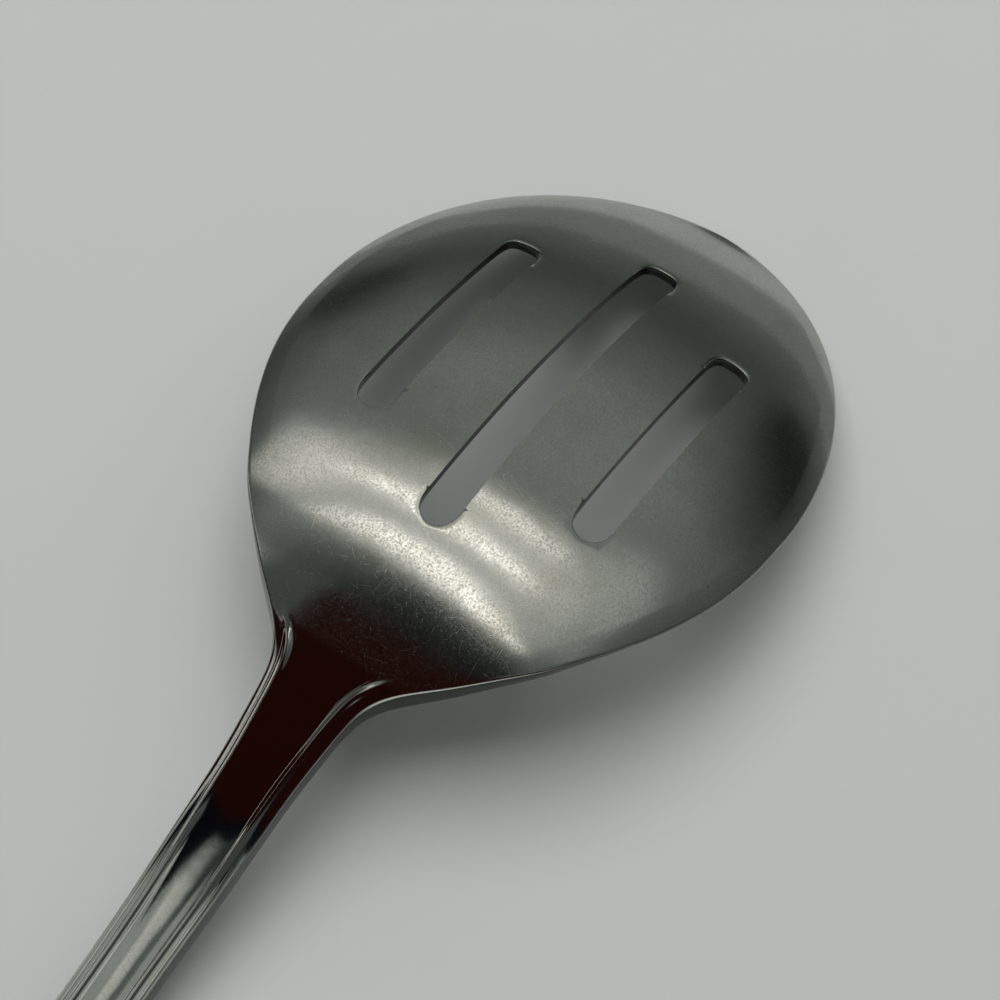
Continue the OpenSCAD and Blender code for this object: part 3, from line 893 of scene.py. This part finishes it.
    def soften_slots(self, piece, blank):
        """Rounds the slots' upper edges at their two ends, most in front, where the punch bent the
        sheet. The rounding fades out along the sides, which stay crisp."""
        bpy.ops.object.mode_set(mode="EDIT")
        mesh = edit_net(piece)
        crease = mesh.edges.layers.float["crease_edge"]
        weight = mesh.edges.layers.float.new("bevel_weight_edge")
        side_of = mesh.verts.layers.float["upper"]
        for edge in self.slot_edges(mesh):
            place = blank.lifted((edge.verts[0].co + edge.verts[1].co) / 2)
            middle = abs(place.y) < blank.s.slot_pitch / 2
            front = blank.long_front if middle else blank.short_front
            back = blank.long_back if middle else blank.short_back
            # From 3 mm before the front and 3.5 mm before the heel, where it is 0.4 as wide
            bent = ease((place.x - front + 0.003) / 0.002)
            worn = 0.4 * ease((back + 0.0035 - place.x) / 0.003)
            share = max(bent, worn)
            upper = edge.verts[0][side_of] > 0.5
            edge[crease] = 1.0 - share if upper else 1.0
            edge[weight] = share if upper else 0.0
        bmesh.update_edit_mesh(piece.data)
        bpy.ops.object.mode_set(mode="OBJECT")
        broken = piece.modifiers.new("broken_edges", "BEVEL")
        broken.limit_method = "WEIGHT"
        broken.width = 0.0004
        broken.segments = 2
        bpy.ops.object.modifier_apply(modifier=broken.name)

    def finish(self, piece, blank):
        """The last rounding, smooth shading, and the attributes that the steel's material reads: the
        place along the blank, and the cut walls, which get painted shade.
        """
        self.smooth_once(piece)
        bpy.ops.object.shade_smooth()
        bpy.ops.object.mode_set(mode="EDIT")
        bpy.ops.mesh.select_mode(type="EDGE")
        bpy.ops.mesh.select_all(action="DESELECT")
        bpy.ops.mesh.edges_select_sharp(sharpness=math.radians(50))
        bpy.ops.mesh.mark_sharp()
        bpy.ops.object.mode_set(mode="OBJECT")
        at_rim = 0.00003
        data = piece.data
        along = data.attributes.new("along", "FLOAT", "POINT")
        cut = data.attributes.new("cut", "FLOAT", "POINT")
        insets = data.attributes["inset"].data
        uppers = data.attributes["upper"].data
        for v in data.vertices:
            along.data[v.index].value = blank.lifted(v.co).x
            # Cut walls of the slots and the rim's edge, where the steel gets painted shade
            wall = 0.01 < uppers[v.index].value < 0.99 or insets[v.index].value < at_rim
            cut.data[v.index].value = 1.0 if wall else 0.0
        for name in ("row", "column", "upper"):
            data.attributes.remove(data.attributes[name])
        data.update()


def nearest(outline, tree, x, y):
    """The nearest point of the outline, and the way inwards from it. Close to the outline that way
    is square to it, because the gap is too short to give a direction."""
    shortest_gap = 0.0002
    _, k, _ = tree.find((x, y, 0))
    here = Vector((x, y))
    best = None
    for a, b in ((outline[k - 1], outline[k]), (outline[k], outline[(k + 1) % len(outline)])):
        way = b - a
        if way.length < 1e-9:
            continue
        t = min(1.0, max(0.0, (here - a).dot(way) / way.dot(way)))
        foot = a + way * t
        gap = (here - foot).length
        if best is None or gap < best[0]:
            best = (gap, foot, Vector((-way.y, way.x)).normalized())
    gap, foot, inward = best
    if gap > shortest_gap and (here - foot).dot(inward) > 0:
        inward = (here - foot) / gap
    return foot, inward


# The light on the studio tent that the steel mirrors, drawn on a flat map of the sky whose middle
# is overhead and whose horizon is the circle of radius 1. Each patch has its centre, its two radii
# and softness, and the light that it adds or takes away. All of it is scaled by one level.
TENT_LEVEL = 1.12
TENT = [
    ("wide glow round the windows", (0.3, 0.12), (0.3, 0.4, 0.5), 0.14),
    ("window", (0.14, 0.14), (0.088, 0.17, 0.3), 0.37),
    ("first pane", (0.066, 0.12), (0.013, 0.1, 0.4), 2.6),
    ("second pane", (0.145, 0.14), (0.014, 0.1, 0.4), 2.2),
    ("third pane", (0.212, 0.1), (0.014, 0.07, 0.5), 1.6),
    ("left pane", (0.135, 0.33), (0.053, 0.1, 0.5), 0.6),
    ("right pane", (0.2, -0.07), (0.08, 0.11, 0.5), 0.33),
    ("ceiling", (0.4, 0.12), (0.12, 0.16, 0.5), 0.07),
    ("dark door", (0.62, -0.2), (0.2, 0.15, 0.4), -0.065),
    ("dark corner", (0.5, 0.57), (0.09, 0.14, 0.4), -0.055),
    ("shade over the neck", (-0.06, 0.1), (0.1, 0.12, 0.3), -0.11),
    ("lit edge of the shade", (-0.03, 0.24), (0.09, 0.07, 0.5), 0.1),
    ("side window", (-0.13, 0.5), (0.045, 0.4, 0.25), 0.35),
    ("bright side pane", (-0.11, 0.88), (0.06, 0.25, 0.4), 0.9),
    ("panel glow", (-0.14, 0.14), (0.03, 0.05, 0.4), 0.5),
    ("strip light", (-0.15, 0.5), (0.17, 0.07, 0.3), 0.3),
    ("low side wall", (-0.13, -0.2), (0.05, 0.24, 0.4), 0.38),
    ("shade beside the flag", (-0.32, 0.15), (0.13, 0.35, 0.3), -0.08),
    ("far wall", (-0.75, 0.1), (0.4, 0.95, 0.3), 0.45),
    ("side wall", (-0.62, -0.5), (0.34, 0.5, 0.3), 0.2),
]

# Level cards that only the steel mirrors: dark brown and dark blue ones over the neck and handle, a
# grey one over the left shoulder, and a grey sheet on the table in front. Each has its height, its
# four corners and its colour.
OVER, ON_TABLE = 0.065, 0.001
CARDS = [
    ("near_flag", OVER, ((-0.0125, -0.13), (0.024, -0.13), (-0.0125, 0.035), (0.024, 0.0215)),
     "#2A0C08"),
    ("upper_flag", OVER, ((-0.0125, 0.035), (0.011, 0.0263), (-0.0125, 0.061), (0.006, 0.061)),
     "#2A0C08"),
    ("shoulder_card", OVER, ((0.011, 0.0263), (0.027, 0.0204), (0.011, 0.05), (0.021, 0.036)),
     "#5B605C"),
    ("blue_flag", OVER, ((-0.0155, -0.13), (-0.0125, -0.13), (-0.0155, 0.017), (-0.0125, 0.017)),
     "#0A0D16"),
    ("slanted_flag", OVER, ((-0.0155, 0.017), (-0.0125, 0.017), (-0.0235, 0.032), (-0.0125, 0.061)),
     "#0A0D16"),
    ("far_flag", OVER, ((-0.021, 0.072), (0.002, 0.072), (-0.105, 0.56), (0.03, 0.56)), "#2A0C08"),
    ("front_card", ON_TABLE, ((0.12, -0.15), (0.62, -0.15), (0.12, 0.45), (0.62, 0.45)), "#8E908E"),
]


class SPOON_OT_stage(bpy.types.Operator):
    """Makes the pale table top, the lamps, the cards that the steel mirrors, and the camera"""
    bl_idname = "spoon.stage"
    bl_label = "Stage"

    def execute(self, context):
        _, _, look = settings()
        self.table_top(look)
        self.room(look)
        self.lamps(look)
        self.tent()
        for name, height, corners, code in CARDS:
            self.card(name, height, corners, code)
        self.camera()
        return {"FINISHED"}

    def table_top(self, look):
        deselect_all()
        bpy.ops.mesh.primitive_plane_add(size=12, location=(0, 0, 0))
        floor = bpy.context.object
        floor.name = "table_top"
        made, tree, shader = new_material("matt_painted_board")
        place = node(tree, "ShaderNodeTexCoord").outputs["Object"]
        cloud = node(tree, "ShaderNodeTexNoise", {"Vector": place, "Scale": 30, "Detail": 3})
        darker = [0.97 * c for c in look.floor] + [1]
        colour = node(tree, "ShaderNodeMix", {"Factor": cloud.outputs["Fac"], "A": (*look.floor, 1),
                                              "B": darker}, data_type="RGBA")
        tree.links.new(colour.outputs["Result"], shader.inputs["Base Color"])
        shader.inputs["Roughness"].default_value = 0.7
        shader.inputs["Specular IOR Level"].default_value = 0.2
        floor.data.materials.append(made)

    def room(self, look):
        world = bpy.data.worlds.new("plain_room")
        bpy.context.scene.world = world
        world.use_nodes = True
        tree = world.node_tree
        tree.nodes.clear()
        glow = node(tree, "ShaderNodeBackground", {"Color": (*look.air, 1), "Strength": 1.0})
        node(tree, "ShaderNodeOutputWorld", {"Surface": glow.outputs["Background"]})

    def lamp(self, name, azimuth, elevation, far, size, power):
        """A rectangular lamp that faces the spoon from a direction. The steel doesn't mirror it."""
        deselect_all()
        a, e = math.radians(azimuth), math.radians(elevation)
        back = Vector((math.cos(a) * math.cos(e), math.sin(a) * math.cos(e), math.sin(e)))
        bpy.ops.object.light_add(type="AREA", location=back * far)
        made = bpy.context.object
        made.name = name
        made.data.shape = "RECTANGLE"
        made.data.size, made.data.size_y = size
        made.data.energy = power
        made.rotation_mode = "QUATERNION"
        made.rotation_quaternion = back.to_track_quat("Z", "Y")
        made.visible_glossy = False

    def lamps(self, look):
        self.lamp("key_lamp", 38, 73, 1.0, (0.86, 0.86), look.key_power)
        self.lamp("fill_lamp", -20, 60, 1.6, (2.2, 2.2), look.fill_power)

    def glow_patch(self, tree, across, level, centre, size, value):
        """Adds one soft-edged patch to the tent's light."""
        u = node(tree, "ShaderNodeMath", {0: across[0], 1: centre[0]}, operation="SUBTRACT")
        v = node(tree, "ShaderNodeMath", {0: across[1], 1: centre[1]}, operation="SUBTRACT")
        u = node(tree, "ShaderNodeMath", {0: u.outputs["Value"], 1: size[0]}, operation="DIVIDE")
        v = node(tree, "ShaderNodeMath", {0: v.outputs["Value"], 1: size[1]}, operation="DIVIDE")
        both = node(tree, "ShaderNodeCombineXYZ", {0: u.outputs["Value"], 1: v.outputs["Value"]})
        far = node(tree, "ShaderNodeVectorMath", {0: both.outputs["Vector"]}, operation="LENGTH")
        share = node(tree, "ShaderNodeMapRange", {
            "Value": far.outputs["Value"], "From Min": 1.0 + size[2], "From Max": 1.0 - size[2]},
            interpolation_type="SMOOTHSTEP")
        return node(tree, "ShaderNodeMath", {0: share.outputs["Result"], 1: TENT_LEVEL * value,
                                             2: level}, operation="MULTIPLY_ADD").outputs["Value"]

    def tent(self):
        """A studio tent that only the steel mirrors, grey with soft patches of light and shade."""
        deselect_all()
        bpy.ops.mesh.primitive_uv_sphere_add(segments=48, ring_count=24, radius=3)
        made = bpy.context.object
        made.name = "studio_tent"
        skin = bpy.data.materials.new("studio_tent")
        skin.use_nodes = True
        tree = skin.node_tree
        tree.nodes.clear()
        place = node(tree, "ShaderNodeTexCoord").outputs["Object"]
        way = node(tree, "ShaderNodeVectorMath", {0: place}, operation="NORMALIZE")
        parts = node(tree, "ShaderNodeSeparateXYZ", {0: way.outputs["Vector"]})
        lift = node(tree, "ShaderNodeMath", {0: parts.outputs["Z"], 1: 1.0}, operation="ADD")
        across = [node(tree, "ShaderNodeMath", {0: parts.outputs[axis], 1: lift.outputs["Value"]},
                       operation="DIVIDE").outputs["Value"] for axis in ("X", "Y")]
        # The bare tent's light, and the least that the shades may leave of it
        level, darkest = 0.1, 0.015
        for _, centre, size, value in TENT:
            level = self.glow_patch(tree, across, level, centre, size, value)
        # A brighter band just over the horizon, where the walls meet the table's light
        flat = node(tree, "ShaderNodeMapRange", {"Value": parts.outputs["Z"], "From Min": 0.22,
                                                 "From Max": 0.0, "To Max": 0.09})
        level = node(tree, "ShaderNodeMath", {0: level, 1: flat.outputs["Result"]}, operation="ADD")
        level = node(tree, "ShaderNodeMath", {0: level.outputs["Value"], 1: darkest}, operation="MAXIMUM")
        tint = node(tree, "ShaderNodeMix", {"Factor": level.outputs["Value"],
                                            "A": linear("#F4FCF6"), "B": linear("#FFF9F1")},
                    data_type="RGBA")
        glow = node(tree, "ShaderNodeEmission", {"Color": tint.outputs["Result"],
                                                 "Strength": level.outputs["Value"]})
        node(tree, "ShaderNodeOutputMaterial", {"Surface": glow.outputs["Emission"]})
        made.data.materials.append(skin)
        self.only_mirrored(made)

    def only_mirrored(self, made):
        """Hides it from all but the rays that the steel mirrors."""
        for ray in ("camera", "diffuse", "transmission", "volume_scatter", "shadow"):
            setattr(made, "visible_" + ray, False)

    def card(self, name, height, corners, code):
        """A level card that only the steel mirrors."""
        deselect_all()
        bpy.ops.mesh.primitive_plane_add(size=1, location=(0, 0, height))
        made = bpy.context.object
        made.name = name
        for v, (x, y) in zip(made.data.vertices, corners):
            v.co = (x, y, 0)
        skin = bpy.data.materials.new(name)
        skin.use_nodes = True
        skin.node_tree.nodes.clear()
        glow = node(skin.node_tree, "ShaderNodeEmission", {"Color": linear(code), "Strength": 1.0})
        node(skin.node_tree, "ShaderNodeOutputMaterial", {"Surface": glow.outputs["Emission"]})
        made.data.materials.append(skin)
        self.only_mirrored(made)

    def camera(self):
        """The camera where it stood for the picture, found from the spoon's outline in it."""
        deselect_all()
        bpy.ops.object.camera_add()
        eye = bpy.context.object
        eye.name = "picture_camera"
        right = Vector((0.579375, -0.814721, -0.023567))
        up = Vector((0.731056, 0.506658, 0.457007))
        back = Vector((-0.360393, -0.282007, 0.889151))
        turn = Matrix((right, up, back)).transposed()
        eye.matrix_world = Matrix.Translation((-0.04559, -0.08092, 0.26156)) @ turn.to_4x4()
        eye.data.sensor_width = 36
        eye.data.lens = 85.55
        eye.data.clip_start = 0.01
        bpy.context.scene.camera = eye


class SPOON_PT_sidebar(bpy.types.Panel):
    """Lists the spoon's pieces and settings"""
    bl_idname = "SPOON_PT_sidebar"
    bl_label = "Slotted serving spoon"
    bl_space_type = "VIEW_3D"
    bl_region_type = "UI"
    bl_category = "Spoon"

    def draw(self, context):
        for group in (context.scene.spoon_sizes, context.scene.spoon_finish,
                      context.scene.spoon_stage):
            box = self.layout.box()
            for name in group.__annotations__:
                box.prop(group, name)
        self.layout.operator(SPOON_OT_blank.bl_idname)
        self.layout.operator(SPOON_OT_stage.bl_idname)


CLASSES = (SpoonSizes, SpoonFinish, StageLook, SPOON_OT_blank, SPOON_OT_stage, SPOON_PT_sidebar)


def register():
    for made in CLASSES:
        bpy.utils.register_class(made)
    bpy.types.Scene.spoon_sizes = bpy.props.PointerProperty(type=SpoonSizes)
    bpy.types.Scene.spoon_finish = bpy.props.PointerProperty(type=SpoonFinish)
    bpy.types.Scene.spoon_stage = bpy.props.PointerProperty(type=StageLook)


def unregister():
    del bpy.types.Scene.spoon_sizes
    del bpy.types.Scene.spoon_finish
    del bpy.types.Scene.spoon_stage
    for made in reversed(CLASSES):
        bpy.utils.unregister_class(made)


def main():
    register()
    view = bpy.context.scene.view_settings
    view.view_transform = "Standard"
    bpy.ops.spoon.blank()
    bpy.ops.spoon.stage()


if __name__ == "__main__":
    main()
